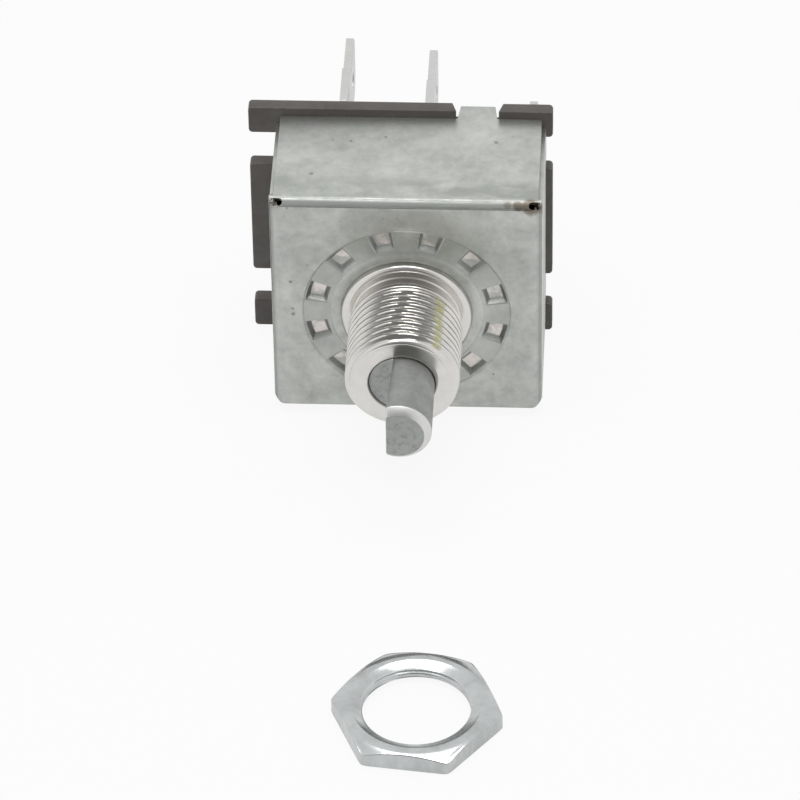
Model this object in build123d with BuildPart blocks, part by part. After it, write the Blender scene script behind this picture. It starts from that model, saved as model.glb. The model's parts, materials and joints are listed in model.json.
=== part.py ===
from build123d import *

import os
from math import cos, radians, sin, sqrt, tan

# Rotary switch with a threaded panel bushing, a D shaft and blade terminals, and its loose panel nut.
# Millimetres. The origin is where the shaft's axis meets the front face of the housing.
# +X is to the right seen from the front, +Y runs back to the terminals and +Z is up.

# ---- driving dimensions -------------------------------------------------------------------

# Housing: a cover folded from sheet steel
sheet = 0.8
housing_half_width = 13.2
housing_top = 13.6
housing_bottom = -12.3
housing_depth = 13.6
inside_bend_radius = 0.2
seam_gap = 0.1
seam_step = 0.4
relief_radius = 0.35
corner_clip = 1.2

# Detent ring pressed into the front panel: a shallow groove with a deeper pocket every 30 degrees
detent_circle = 8.9
detent_count = 12
ring_inward = 1.55
ring_outward = 1.3
ring_depth = 0.15
ring_slope = 0.15
pocket_depth = 0.6
pocket_length = 2.2
pocket_half_angle = 7.2
pocket_floor_length = 1.3
pocket_floor_half_angle = 4.6
bump_height = 0.55
bump_length = 2.7
bump_half_angle = 8.6
bump_crest_length = 1.9
bump_crest_half_angle = 5.8

# Bushing: 7/16 inch thread with a collar, staked through the front panel
thread_radius = 5.556
relief_band_depth = 0.356
relief_band_length = 1.7
bushing_reach = 10.74
bushing_bore_radius = 3.225
bushing_end_drop = 0.576
bushing_end_length = 0.6
collar_step = 0.814
collar_thickness = 0.9
collar_chamfer = 0.3
collar_bed = 0.05
collar_bed_clearance = 0.03
neck_radius = 4.75
staked_radius = 5.5
staked_thickness = 0.7

# Shaft: quarter inch, with a D end, a thrust flange and a square drive
shaft_running_clearance = 0.05
shaft_reach = 18.54
shaft_tip_chamfer = 0.7
d_flat_to_round = 3.97
d_flat_turn = 3.0
shaft_flange_radius = 5.5
shaft_flange_thickness = 1.2
drive_square = 4.5
drive_floor = 0.85
drive_clearance = 0.05
washer_thickness = 0.35
end_play = 0.05

# Rotor: the moulded carrier of the balls, the springs and the contact bridge
rotor_rim = 0.452
ball_boss_wall = 0.6525
ball_boss_height = 1.1
ball_bore_floor = 1.0
rotor_post_square = 6.4
rotor_post_fillet = 1.2
pilot_radius = 2.0
pilot_clearance = 0.05
stop_lug_height = 1.3
stop_lug_half_angle = 8.0
stop_lug_length = 4.6
stop_gap_angle = 0.6

# Detent balls and springs
ball_radius = 1.5875
ball_bore_clearance = 0.06
ball_lift_clearance = 0.15
detent_wire = 0.35
detent_coil_radius = 1.2
detent_coil_pitch = 0.75
spring_gap = 0.03

# Contact bridge and its spring
bridge_thickness = 0.5
bridge_hub_radius = 6.2
bridge_arm_half_width = 1.7
bridge_clearance = 0.05
bridge_arms = 3
dimple_radius = 1.0
dimple_height = 0.27
dimple_gap = 0.03
contact_wire = 0.5
contact_coil_radius = 5.1
contact_coil_pitch = 0.74
contact_spring_room = 2.8

# Terminal base: a moulded plate that the housing's tabs hook round
base_left_ear = 2.76
base_right_ear = 0.67
base_top_edge = 0.9
base_bottom_edge = 0.6
base_thickness = 1.6
base_back_chamfer = 0.3
base_corner_radius = 0.4
side_notch_width = 3.85
side_notch_heights = (9.53, -7.6)
notch_clearance = 0.15
stop_post_width_angle = 8.0
stop_post_gap = 0.25
stop_post_overhang = 0.4

# Housing tabs
top_tab_x = 6.5
top_tab_root_width = 3.9
top_tab_tip_width = 3.3
top_notch_front_width = 4.1
top_notch_back_width = 5.1
tab_foot_length = 2.2
side_tab_width = 3.4
tab_gap = 0.05

# Contacts and terminals: quarter inch blades on a shouldered, riveted foot
contact_circle = 9.2
contact_height = 0.6
contact_head_radius = 1.7
contact_head_chamfer = 0.25
rivet_shank_radius = 1.1
rivet_clearance = 0.02
rivet_back_height = 0.5
terminal_sheet = 0.8
blade_width = 6.35
blade_length = 8.0
blade_tip_chamfer = 1.0
blade_hole_radius = 0.9
blade_hole_from_tip = 3.9
shoulder_step = 1.6
terminal_reach = 13.4
foot_half_width = 2.1

# Each terminal: its rivet's angle from the top, clockwise, and its blade's x and z from the rivet
terminals = {
    1: (-19.56, -3.6, 0.85),
    2: (33.22, -3.4, 0.52),
    3: (71.8, 2.9, -0.85),
    4: (137.63, -3.2, -0.2),
    5: (217.5, -3.2, 0.3),
}

# Panel nut: thin hexagon, lying flat in front of the switch
nut_across_flats = 14.29
nut_thickness = 2.0
nut_x = 2.7
nut_y = -44.1
nut_turn = -7.0
thread_depth = 0.456
nut_countersink_step = 0.544
nut_corner_slope = 30.0

# ---- derived places -----------------------------------------------------------------------

bend_radius = sheet + inside_bend_radius
housing_height = housing_top - housing_bottom
housing_middle = (housing_top + housing_bottom) / 2
inner_half_width = housing_half_width - sheet
ring_inner = detent_circle - ring_inward
ring_outer = detent_circle + ring_outward
pocket_floor = ring_depth + pocket_depth
bump_crest = sheet + bump_height
pocket_angles = [(step + 0.5) * 360 / detent_count for step in range(detent_count)]

relief_band_radius = thread_radius - relief_band_depth
bushing_end_radius = thread_radius - bushing_end_drop
collar_radius = thread_radius + collar_step
shaft_radius = bushing_bore_radius - shaft_running_clearance
staked_back = sheet + staked_thickness
washer_back = staked_back + washer_thickness
flange_front = washer_back + end_play
rotor_front = flange_front + shaft_flange_thickness

base_left = -housing_half_width - base_left_ear
base_right = housing_half_width + base_right_ear
base_top = housing_top + base_top_edge
base_bottom = housing_bottom - base_bottom_edge
base_front = housing_depth
base_back = base_front + base_thickness
contact_face = base_front - contact_height
bridge_back = contact_face - dimple_gap - dimple_height
bridge_front = bridge_back - bridge_thickness

rotor_back = bridge_front - contact_spring_room
rotor_thickness = rotor_back - rotor_front
drive_length = rotor_thickness - drive_floor - drive_clearance
ball_bore_radius = ball_radius + ball_bore_clearance
ball_boss_radius = ball_bore_radius + ball_boss_wall
rotor_radius = detent_circle + ball_bore_radius + rotor_rim
stop_lug_reach = rotor_radius + stop_lug_height
stop_post_inner = rotor_radius + stop_post_gap
stop_post_outer = stop_lug_reach + stop_post_overhang
ball_centre = bump_crest + ball_lift_clearance + ball_radius
boss_front = rotor_front - ball_boss_height
ball_bore_back = rotor_back - ball_bore_floor
detent_ball_sides = {"left": -1, "right": 1}

foot_back = base_back + terminal_sheet
terminal_tip = base_back + terminal_reach
shoulder_back = terminal_tip - blade_length

nut_bottom = base_bottom
nut_minor_radius = thread_radius - thread_depth
nut_countersink_radius = thread_radius + nut_countersink_step


def face_at(y):
    """A sketch plane at this y, seen from the front: its own x and y are the switch's +X and +Z."""
    return Plane.XZ.offset(-y)


def ring_piece(y, middle, length, half_angle):
    """A sketch, at this y, of the stretch of a ring that stands straight above the axis."""
    inner, outer = middle - length / 2, middle + length / 2
    start = 90 - half_angle
    with BuildSketch(face_at(y)) as piece:
        with BuildLine():
            low = CenterArc((0, 0), inner, start, 2 * half_angle)
            high = CenterArc((0, 0), outer, start, 2 * half_angle)
            Line(low @ 0, high @ 0)
            Line(low @ 1, high @ 1)
        make_face()
    return piece.sketch


def rivet_place(number):
    """The x and z of a terminal's contact rivet, which lies on the contact circle."""
    angle = radians(terminals[number][0])
    return contact_circle * sin(angle), contact_circle * cos(angle)


def whole_turns(start, end, least_pitch, radius, x):
    """A helix along +Y from start to end, in as many whole turns as its least pitch leaves room for."""
    turns = int((end - start) / least_pitch)
    return Helix(
        pitch=(end - start) / turns,
        height=end - start,
        radius=radius,
        center=(x, start, 0),
        direction=(0, 1, 0),
    )


def save(piece, name):
    """Labels a finished piece and writes it as the node of that name."""
    piece.part.label = name
    export_step(piece.part, f"parts/{name}.step")


os.makedirs("parts", exist_ok=True)

# ---- housing ------------------------------------------------------------------------------

with BuildPart() as pocket:
    loft(
        [
            ring_piece(ring_depth, detent_circle, pocket_length, pocket_half_angle),
            ring_piece(pocket_floor, detent_circle, pocket_floor_length, pocket_floor_half_angle),
        ]
    )

with BuildPart() as bump:
    loft(
        [
            ring_piece(sheet, detent_circle, bump_length, bump_half_angle),
            ring_piece(bump_crest, detent_circle, bump_crest_length, bump_crest_half_angle),
        ]
    )

with BuildPart() as housing:
    with BuildSketch(face_at(0)):
        with Locations((0, housing_middle)):
            Rectangle(2 * housing_half_width, housing_height)
    extrude(amount=-housing_depth)
    fillet(housing.faces().sort_by(Axis.Y)[0].edges(), bend_radius)
    offset(amount=-sheet, openings=housing.faces().sort_by(Axis.Y)[-1])

    # The four side walls meet at open corners: the top and bottom walls lap half over the sides
    for side in (-1, 1):
        for level, inward in ((housing_top, -1), (housing_bottom, 1)):
            lap_x = side * (housing_half_width - seam_step)
            edge_z = level + inward * (sheet + seam_gap)
            with BuildSketch(face_at(bend_radius)):
                with BuildLine():
                    Polyline(
                        (lap_x, level - inward),
                        (lap_x, level + inward * sheet),
                        (side * (inner_half_width - seam_gap), level + inward * sheet),
                        (side * (inner_half_width - seam_gap), edge_z),
                        (side * (housing_half_width + 1), edge_z),
                        (side * (housing_half_width + 1), level - inward),
                        close=True,
                    )
                make_face()
            extrude(amount=-housing_depth, mode=Mode.SUBTRACT)

    # Round reliefs where the folds meet at the top corners
    fold_middle = bend_radius - bend_radius * cos(radians(45))
    for side in (-1, 1):
        relief_x = side * (inner_half_width + relief_radius / 4)
        relief = Plane((relief_x, fold_middle, housing_top - fold_middle), z_dir=(0, -1, 1))
        with BuildSketch(relief):
            SlotOverall(3.4 * relief_radius, 2 * relief_radius, rotation=90)
        extrude(amount=bend_radius, both=True, mode=Mode.SUBTRACT)

    # Clipped corners at the bottom
    with BuildSketch(face_at(-1)):
        for side in (-1, 1):
            with BuildLine():
                Polyline(
                    (side * (housing_half_width + 1), housing_bottom - 1),
                    (side * (housing_half_width + 1), housing_bottom + corner_clip + 1),
                    (side * (housing_half_width - corner_clip - 1), housing_bottom - 1),
                    close=True,
                )
            make_face()
    extrude(amount=-(1 + bend_radius + seam_gap), mode=Mode.SUBTRACT)

    # The bumps that the balls click over, and the pockets in front of them
    for angle in pocket_angles:
        add(bump.part, rotation=(0, angle, 0))
    with BuildSketch(Plane.XY):
        with BuildLine():
            Polyline(
                (ring_inner, 0),
                (ring_inner + ring_slope, ring_depth),
                (ring_outer - ring_slope, ring_depth),
                (ring_outer, 0),
                (ring_outer, -1),
                (ring_inner, -1),
                close=True,
            )
        make_face()
    revolve(axis=Axis.Y, mode=Mode.SUBTRACT)
    for angle in pocket_angles:
        add(pocket.part, rotation=(0, angle, 0), mode=Mode.SUBTRACT)

    # Hole for the bushing's neck, and the shallow bed that its collar is staked down into
    with BuildSketch(face_at(-1)):
        Circle(neck_radius)
    extrude(amount=-(2 + sheet), mode=Mode.SUBTRACT)
    with BuildSketch(face_at(0)):
        Circle(collar_radius + collar_bed_clearance)
    extrude(amount=-collar_bed, mode=Mode.SUBTRACT)

    # Top tab, bent down behind the base
    tab_back = base_back + tab_gap + sheet
    with BuildSketch(Plane.XY.offset(housing_top)):
        with BuildLine():
            Polyline(
                (top_tab_x - top_tab_root_width / 2, housing_depth),
                (top_tab_x + top_tab_root_width / 2, housing_depth),
                (top_tab_x + top_tab_tip_width / 2, tab_back),
                (top_tab_x - top_tab_tip_width / 2, tab_back),
                close=True,
            )
        make_face()
    extrude(amount=-sheet)
    with BuildSketch(face_at(tab_back)):
        with Locations((top_tab_x, housing_top - tab_foot_length / 2)):
            Rectangle(top_tab_tip_width, tab_foot_length)
    extrude(amount=sheet)

    # Side tabs, bent inwards behind the base
    for side in (-1, 1):
        for height in side_notch_heights:
            with BuildSketch(face_at(tab_back)):
                with Locations((side * (housing_half_width - sheet / 2), height)):
                    Rectangle(sheet, side_tab_width)
            extrude(amount=tab_back - housing_depth)
            with BuildSketch(face_at(tab_back)):
                with Locations((side * (housing_half_width - tab_foot_length / 2), height)):
                    Rectangle(tab_foot_length, side_tab_width)
            extrude(amount=sheet)
    tab_bends = housing.edges().filter_by_position(Axis.Y, tab_back, tab_back)
    outer_bends = (
        tab_bends.filter_by_position(Axis.X, -housing_half_width, -housing_half_width)
        + tab_bends.filter_by_position(Axis.X, housing_half_width, housing_half_width)
        + tab_bends.filter_by_position(Axis.Z, housing_top, housing_top)
    )
    fillet(outer_bends, sheet * 0.9)
save(housing, "housing")

# ---- bushing ------------------------------------------------------------------------------

with BuildPart() as bushing:
    with BuildSketch(Plane.XY):
        with BuildLine():
            Polyline(
                (bushing_bore_radius, -bushing_reach),
                (bushing_end_radius, -bushing_reach),
                (thread_radius, -bushing_reach + bushing_end_length),
                (thread_radius, -collar_thickness - relief_band_length),
                (relief_band_radius, -collar_thickness - relief_band_length),
                (relief_band_radius, -collar_thickness),
                (collar_radius - collar_chamfer, -collar_thickness),
                (collar_radius, -collar_thickness + collar_chamfer),
                (collar_radius, collar_bed),
                (neck_radius, collar_bed),
                (neck_radius, sheet),
                (staked_radius, sheet),
                (staked_radius, staked_back),
                (bushing_bore_radius, staked_back),
                close=True,
            )
        make_face()
    revolve(axis=Axis.Y)
save(bushing, "bushing")

# ---- shaft and its thrust washer ----------------------------------------------------------

with BuildPart() as thrust_washer:
    with BuildSketch(face_at(washer_back)):
        Circle(shaft_flange_radius)
        Circle(shaft_radius + 2 * shaft_running_clearance, mode=Mode.SUBTRACT)
    extrude(amount=washer_thickness)
save(thrust_washer, "thrust_washer")

with BuildPart() as shaft:
    with BuildSketch(Plane.XY):
        with BuildLine():
            Polyline(
                (0, -shaft_reach),
                (shaft_radius - shaft_tip_chamfer, -shaft_reach),
                (shaft_radius, -shaft_reach + shaft_tip_chamfer),
                (shaft_radius, flange_front),
                (shaft_flange_radius, flange_front),
                (shaft_flange_radius, rotor_front),
                (0, rotor_front),
                close=True,
            )
        make_face()
    revolve(axis=Axis.Y)
    with BuildSketch(face_at(rotor_front)):
        Rectangle(drive_square, drive_square)
    extrude(amount=-drive_length)
    with BuildSketch(face_at(-bushing_reach).rotated((0, 0, -d_flat_turn))):
        with Locations((shaft_radius - d_flat_to_round, 0)):
            Rectangle(2 * shaft_radius, 3 * shaft_radius, align=(Align.MAX, Align.CENTER))
    extrude(amount=shaft_reach, mode=Mode.SUBTRACT)
save(shaft, "shaft")

# ---- rotor --------------------------------------------------------------------------------

with BuildPart() as rotor:
    with BuildSketch(face_at(rotor_back)):
        Circle(rotor_radius)
    extrude(amount=rotor_thickness)

    # Bosses that guide the balls, kept within the rotor's rim
    with BuildSketch(face_at(rotor_front)):
        with Locations(*[(side * detent_circle, 0) for side in detent_ball_sides.values()]):
            Circle(ball_boss_radius)
        Circle(rotor_radius, mode=Mode.INTERSECT)
    extrude(amount=ball_boss_height)
    with BuildSketch(face_at(boss_front)):
        with Locations(*[(side * detent_circle, 0) for side in detent_ball_sides.values()]):
            Circle(ball_bore_radius)
    extrude(amount=boss_front - ball_bore_back, mode=Mode.SUBTRACT)

    # Lug that meets the base's stop posts, at the top left when the shaft is at rest
    with BuildSketch(face_at(rotor_back)):
        with BuildLine():
            low = CenterArc((0, 0), rotor_radius - 1, 135 - stop_lug_half_angle, 2 * stop_lug_half_angle)
            high = CenterArc((0, 0), stop_lug_reach, 135 - stop_lug_half_angle, 2 * stop_lug_half_angle)
            Line(low @ 0, high @ 0)
            Line(low @ 1, high @ 1)
        make_face()
    extrude(amount=stop_lug_length)

    # Post that carries the bridge, and the pilot that turns in the base
    with BuildSketch(face_at(rotor_back)):
        RectangleRounded(rotor_post_square, rotor_post_square, rotor_post_fillet)
    extrude(amount=rotor_back - contact_face)
    with BuildSketch(face_at(contact_face)):
        Circle(pilot_radius)
    extrude(amount=contact_face - base_back)

    # Square socket for the shaft's drive end
    with BuildSketch(face_at(rotor_front)):
        Rectangle(drive_square + 2 * drive_clearance, drive_square + 2 * drive_clearance)
    extrude(amount=-(drive_length + drive_clearance), mode=Mode.SUBTRACT)
save(rotor, "rotor")

# ---- detent balls and springs -------------------------------------------------------------

wire_reach = ball_radius + detent_wire / 2
detent_coil_start = ball_centre + sqrt(wire_reach**2 - detent_coil_radius**2) + spring_gap
detent_coil_end = ball_bore_back - detent_wire / 2 - spring_gap
for side_name, side in detent_ball_sides.items():
    ball_x = side * detent_circle
    with BuildPart() as detent_ball:
        with Locations((ball_x, ball_centre, 0)):
            Sphere(ball_radius)
    save(detent_ball, f"detent_ball_{side_name}")

    with BuildPart() as detent_spring:
        with BuildLine() as coil:
            whole_turns(detent_coil_start, detent_coil_end, detent_coil_pitch, detent_coil_radius, ball_x)
        with BuildSketch(Plane(coil.line @ 0, z_dir=coil.line % 0)):
            Circle(detent_wire / 2)
        sweep(is_frenet=True)
    save(detent_spring, f"detent_spring_{side_name}")

# ---- contact bridge and its spring --------------------------------------------------------

with BuildPart() as contact_bridge:
    with BuildSketch(face_at(bridge_back)):
        Circle(bridge_hub_radius)
        with PolarLocations(0, bridge_arms, start_angle=90):
            with Locations((contact_circle / 2, 0)):
                SlotCenterToCenter(contact_circle, 2 * bridge_arm_half_width)
        RectangleRounded(
            rotor_post_square + 2 * bridge_clearance,
            rotor_post_square + 2 * bridge_clearance,
            rotor_post_fillet,
            mode=Mode.SUBTRACT,
        )
    extrude(amount=bridge_thickness)
    with BuildSketch(face_at(bridge_back)):
        with PolarLocations(contact_circle, bridge_arms, start_angle=90):
            Circle(dimple_radius)
    extrude(amount=-dimple_height)
    fillet(contact_bridge.faces().sort_by(Axis.Y)[-bridge_arms:].edges(), dimple_height * 0.8)
save(contact_bridge, "contact_bridge")

with BuildPart() as contact_spring:
    coil_start = rotor_back + contact_wire / 2 + spring_gap
    coil_end = bridge_front - contact_wire / 2 - spring_gap
    with BuildLine() as coil:
        whole_turns(coil_start, coil_end, contact_coil_pitch, contact_coil_radius, 0)
    with BuildSketch(Plane(coil.line @ 0, z_dir=coil.line % 0)):
        Circle(contact_wire / 2)
    sweep(is_frenet=True)
save(contact_spring, "contact_spring")

# ---- terminal base ------------------------------------------------------------------------

notch_inner = inner_half_width - notch_clearance
with BuildPart() as terminal_base:
    with BuildSketch(face_at(base_back)):
        with Locations((base_left, base_bottom)):
            Rectangle(base_right - base_left, base_top - base_bottom, align=(Align.MIN, Align.MIN))
        for height in side_notch_heights:
            with Locations((base_left - 1, height)):
                Rectangle(
                    -notch_inner - base_left + 1,
                    side_notch_width,
                    align=(Align.MIN, Align.CENTER),
                    mode=Mode.SUBTRACT,
                )
            with Locations((notch_inner, height)):
                Rectangle(
                    base_right - notch_inner + 1,
                    side_notch_width,
                    align=(Align.MIN, Align.CENTER),
                    mode=Mode.SUBTRACT,
                )
    extrude(amount=base_thickness)
    outer_corners = terminal_base.edges().filter_by(Axis.Y)
    fillet(
        outer_corners.filter_by_position(Axis.X, base_left, base_left)
        + outer_corners.filter_by_position(Axis.X, base_right, base_right),
        base_corner_radius,
    )
    chamfer(terminal_base.faces().sort_by(Axis.Y)[-1].edges(), base_back_chamfer)

    # Notch in the top edge for the housing's top tab, wider towards the back
    notch_floor = housing_top - sheet - notch_clearance
    with BuildSketch(Plane.XY.offset(base_top + 1)):
        with BuildLine():
            Polyline(
                (top_tab_x - top_notch_front_width / 2, base_front),
                (top_tab_x + top_notch_front_width / 2, base_front),
                (top_tab_x + top_notch_back_width / 2, base_back),
                (top_tab_x - top_notch_back_width / 2, base_back),
                close=True,
            )
        make_face()
    extrude(amount=notch_floor - base_top - 1, mode=Mode.SUBTRACT)

    # Stop posts, one at each end of the lug's travel
    lug_end = stop_lug_half_angle + stop_gap_angle
    with BuildSketch(face_at(base_front)):
        for start in (45 - lug_end - stop_post_width_angle, 135 + lug_end):
            with BuildLine():
                low = CenterArc((0, 0), stop_post_inner, start, stop_post_width_angle)
                high = CenterArc((0, 0), stop_post_outer, start, stop_post_width_angle)
                Line(low @ 0, high @ 0)
                Line(low @ 1, high @ 1)
            make_face()
    extrude(amount=base_front - rotor_back + stop_lug_length)

    # Holes for the rotor's pilot and the contact rivets
    with BuildSketch(face_at(base_back)):
        Circle(pilot_radius + pilot_clearance)
        with Locations(*[rivet_place(number) for number in terminals]):
            Circle(rivet_shank_radius + rivet_clearance)
    extrude(amount=base_thickness, mode=Mode.SUBTRACT)
save(terminal_base, "terminal_base")

# ---- terminals and contact rivets ---------------------------------------------------------

for number, (angle, blade_dx, blade_dz) in terminals.items():
    rivet_x, rivet_z = rivet_place(number)
    blade_x = rivet_x + blade_dx
    middle = rivet_z + blade_dz
    with BuildPart() as terminal:
        with BuildSketch(Plane.YZ.offset(blade_x - terminal_sheet / 2)):
            with BuildLine():
                Polyline(
                    (base_back, middle - blade_width / 2 - shoulder_step),
                    (shoulder_back, middle - blade_width / 2 - shoulder_step),
                    (shoulder_back, middle - blade_width / 2),
                    (terminal_tip - blade_tip_chamfer, middle - blade_width / 2),
                    (terminal_tip, middle - blade_width / 2 + blade_tip_chamfer),
                    (terminal_tip, middle + blade_width / 2 - blade_tip_chamfer),
                    (terminal_tip - blade_tip_chamfer, middle + blade_width / 2),
                    (shoulder_back, middle + blade_width / 2),
                    (shoulder_back, middle + blade_width / 2 + shoulder_step),
                    (base_back, middle + blade_width / 2 + shoulder_step),
                    close=True,
                )
            make_face()
            with Locations((terminal_tip - blade_hole_from_tip, middle)):
                Circle(blade_hole_radius, mode=Mode.SUBTRACT)
        extrude(amount=terminal_sheet)
        with BuildSketch(face_at(foot_back)):
            with Locations((blade_x, rivet_z)):
                Rectangle(
                    abs(rivet_x - blade_x),
                    2 * foot_half_width,
                    align=(Align.MIN if blade_dx < 0 else Align.MAX, Align.CENTER),
                )
            with Locations((rivet_x, rivet_z)):
                Circle(foot_half_width)
                Circle(rivet_shank_radius + rivet_clearance, mode=Mode.SUBTRACT)
        extrude(amount=terminal_sheet)
    save(terminal, f"terminal_{number}")

    with BuildPart() as contact_rivet:
        with BuildSketch(face_at(foot_back)):
            with Locations((rivet_x, rivet_z)):
                Circle(rivet_shank_radius)
        extrude(amount=foot_back - base_front)
        with BuildSketch(face_at(base_front)):
            with Locations((rivet_x, rivet_z)):
                Circle(contact_head_radius)
        extrude(amount=contact_height)
        with BuildSketch(face_at(foot_back)):
            with Locations((rivet_x, rivet_z)):
                Circle(contact_head_radius)
        extrude(amount=-rivet_back_height)
        ends = contact_rivet.faces().sort_by(Axis.Y)
        chamfer(ends[0].edges() + ends[-1].edges(), contact_head_chamfer)
    save(contact_rivet, f"contact_rivet_{number}")

# ---- panel nut ----------------------------------------------------------------------------

nut_corner_radius = nut_across_flats / sqrt(3)
corner_drop = (nut_corner_radius - nut_across_flats / 2) * tan(radians(nut_corner_slope))
countersink_depth = nut_countersink_radius - nut_minor_radius
with BuildPart() as mounting_nut:
    with BuildSketch(Plane.XY.offset(nut_bottom)):
        with Locations((nut_x, nut_y)):
            RegularPolygon(nut_across_flats / 2, 6, major_radius=False, rotation=nut_turn)
    extrude(amount=nut_thickness)
    # Corners turned off at the top, and a bore countersunk at both ends
    nut_axis = Plane((nut_x, nut_y, nut_bottom), x_dir=(1, 0, 0), z_dir=(0, -1, 0))
    with BuildSketch(nut_axis):
        with BuildLine():
            Polyline(
                (nut_minor_radius, countersink_depth / 2),
                (nut_minor_radius + countersink_depth / 2, 0),
                (nut_corner_radius, 0),
                (nut_corner_radius, nut_thickness - corner_drop),
                (nut_across_flats / 2, nut_thickness),
                (nut_countersink_radius, nut_thickness),
                (nut_minor_radius, nut_thickness - countersink_depth / 2),
                close=True,
            )
        make_face()
    revolve(axis=Axis((nut_x, nut_y, 0), (0, 0, 1)), mode=Mode.INTERSECT)
save(mounting_nut, "mounting_nut")
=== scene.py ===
import json
import math

import bmesh
import bpy
from mathutils import Matrix, Vector


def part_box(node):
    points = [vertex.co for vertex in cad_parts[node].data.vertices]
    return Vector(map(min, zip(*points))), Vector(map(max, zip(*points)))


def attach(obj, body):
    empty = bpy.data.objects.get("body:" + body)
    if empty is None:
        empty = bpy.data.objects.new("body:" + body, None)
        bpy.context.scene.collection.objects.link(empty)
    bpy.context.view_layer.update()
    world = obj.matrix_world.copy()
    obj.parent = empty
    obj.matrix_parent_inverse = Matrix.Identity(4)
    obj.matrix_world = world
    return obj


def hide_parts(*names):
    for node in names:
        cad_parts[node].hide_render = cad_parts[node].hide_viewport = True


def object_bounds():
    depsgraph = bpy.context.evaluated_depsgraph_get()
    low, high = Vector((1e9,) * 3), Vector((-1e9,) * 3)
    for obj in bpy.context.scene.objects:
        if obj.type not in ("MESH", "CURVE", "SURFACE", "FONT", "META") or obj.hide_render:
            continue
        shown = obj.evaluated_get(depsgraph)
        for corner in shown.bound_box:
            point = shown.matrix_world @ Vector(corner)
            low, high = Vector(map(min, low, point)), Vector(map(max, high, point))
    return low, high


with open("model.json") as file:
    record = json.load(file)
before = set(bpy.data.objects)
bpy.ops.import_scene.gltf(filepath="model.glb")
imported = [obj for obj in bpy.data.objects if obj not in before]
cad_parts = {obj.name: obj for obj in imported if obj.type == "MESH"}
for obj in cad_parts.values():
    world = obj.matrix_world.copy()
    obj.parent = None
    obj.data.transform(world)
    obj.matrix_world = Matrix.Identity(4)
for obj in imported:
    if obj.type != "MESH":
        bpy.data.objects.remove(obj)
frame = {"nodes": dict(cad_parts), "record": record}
cad_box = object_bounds()

bl_info = {
    "name": "Rotary switch finish",
    "version": (1, 0, 0),
    "blender": (4, 5, 0),
    "location": "3D View > Sidebar > Rotary switch",
    "description": "Threads, finishes, stage and light for a panel rotary switch with its nut taken off",
    "category": "Object",
}

MM = 0.001


def low_high(node):
    """A node's lowest and highest corners, in millimetres."""
    low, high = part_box(node)
    return low / MM, high / MM


BUSHING_LOW, BUSHING_HIGH = low_high("bushing")
HOUSING_HIGH = low_high("housing")[1]
NUT_LOW, NUT_HIGH = low_high("mounting_nut")
FLOOR_MM = cad_box[0][2] / MM


# ---- properties ---------------------------------------------------------------------------


def size(name, description, default):
    """A length property in millimetres."""
    return bpy.props.FloatProperty(name=name, description=description, default=default, precision=3)


def colour(name, description, default):
    """A linear colour property."""
    return bpy.props.FloatVectorProperty(
        name=name, description=description, default=default, size=3, subtype="COLOR", min=0, max=1
    )


def angle(name, description, degrees):
    """An angle property, given in degrees."""
    return bpy.props.FloatProperty(
        name=name, description=description, default=math.radians(degrees), subtype="ANGLE"
    )


class SwitchThreadSettings(bpy.types.PropertyGroup):
    """Sizes of the bushing, the nut and the thread that joins them"""

    thread_radius: size("Thread radius", "Radius over the thread's crests, mm", 5.556)
    thread_pitch: size("Pitch", "Distance from one crest to the next, mm", 0.907)
    thread_depth: size("Depth", "Depth of the thread from crest to root, mm", 0.42)
    crest_share: bpy.props.FloatProperty(
        name="Crest share",
        description="Share of the pitch that the rounded crest takes",
        default=0.3,
        min=0,
        max=0.8,
    )
    bore_radius: size("Bore radius", "Radius of the bushing's bore, mm", 3.225)
    collar_radius: size("Collar radius", "Radius of the collar against the housing, mm", BUSHING_HIGH.x)
    collar_thickness: size("Collar thickness", "How far the collar stands in front of the housing, mm", 0.9)
    collar_bed: size("Collar bed", "How far the collar is let into the housing, mm", 0.05)
    collar_chamfer: size("Collar chamfer", "Width of the collar's bright chamfer, mm", 0.3)
    band_radius: size("Band radius", "Radius of the smooth band beside the collar, mm", 5.2)
    band_length: size("Band length", "Length of the smooth band, mm", 1.7)
    end_radius: size("End radius", "Radius of the bushing's end face, mm", 4.98)
    end_length: size("End chamfer length", "Length of the chamfer at the bushing's end, mm", 0.6)
    neck_radius: size("Neck radius", "Radius where the bushing passes through the sheet, mm", 4.75)
    staked_radius: size("Staked radius", "Radius of the staked lip inside the housing, mm", 5.5)
    sheet: size("Sheet", "Thickness of the housing's sheet, mm", 0.8)
    across_flats: size("Nut across flats", "Width of the nut across its flats, mm", 14.29)
    nut_turn: angle("Nut turn", "How far the loose nut lies turned on the floor", -7)
    nut_minor_radius: size("Nut minor radius", "Radius inside the nut's thread, mm", 5.1)
    nut_countersink: size("Nut countersink", "Radius of the nut's countersinks, mm", 6.1)
    nut_slope: angle("Nut corner slope", "Slope of the turned corners", 30)


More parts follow.
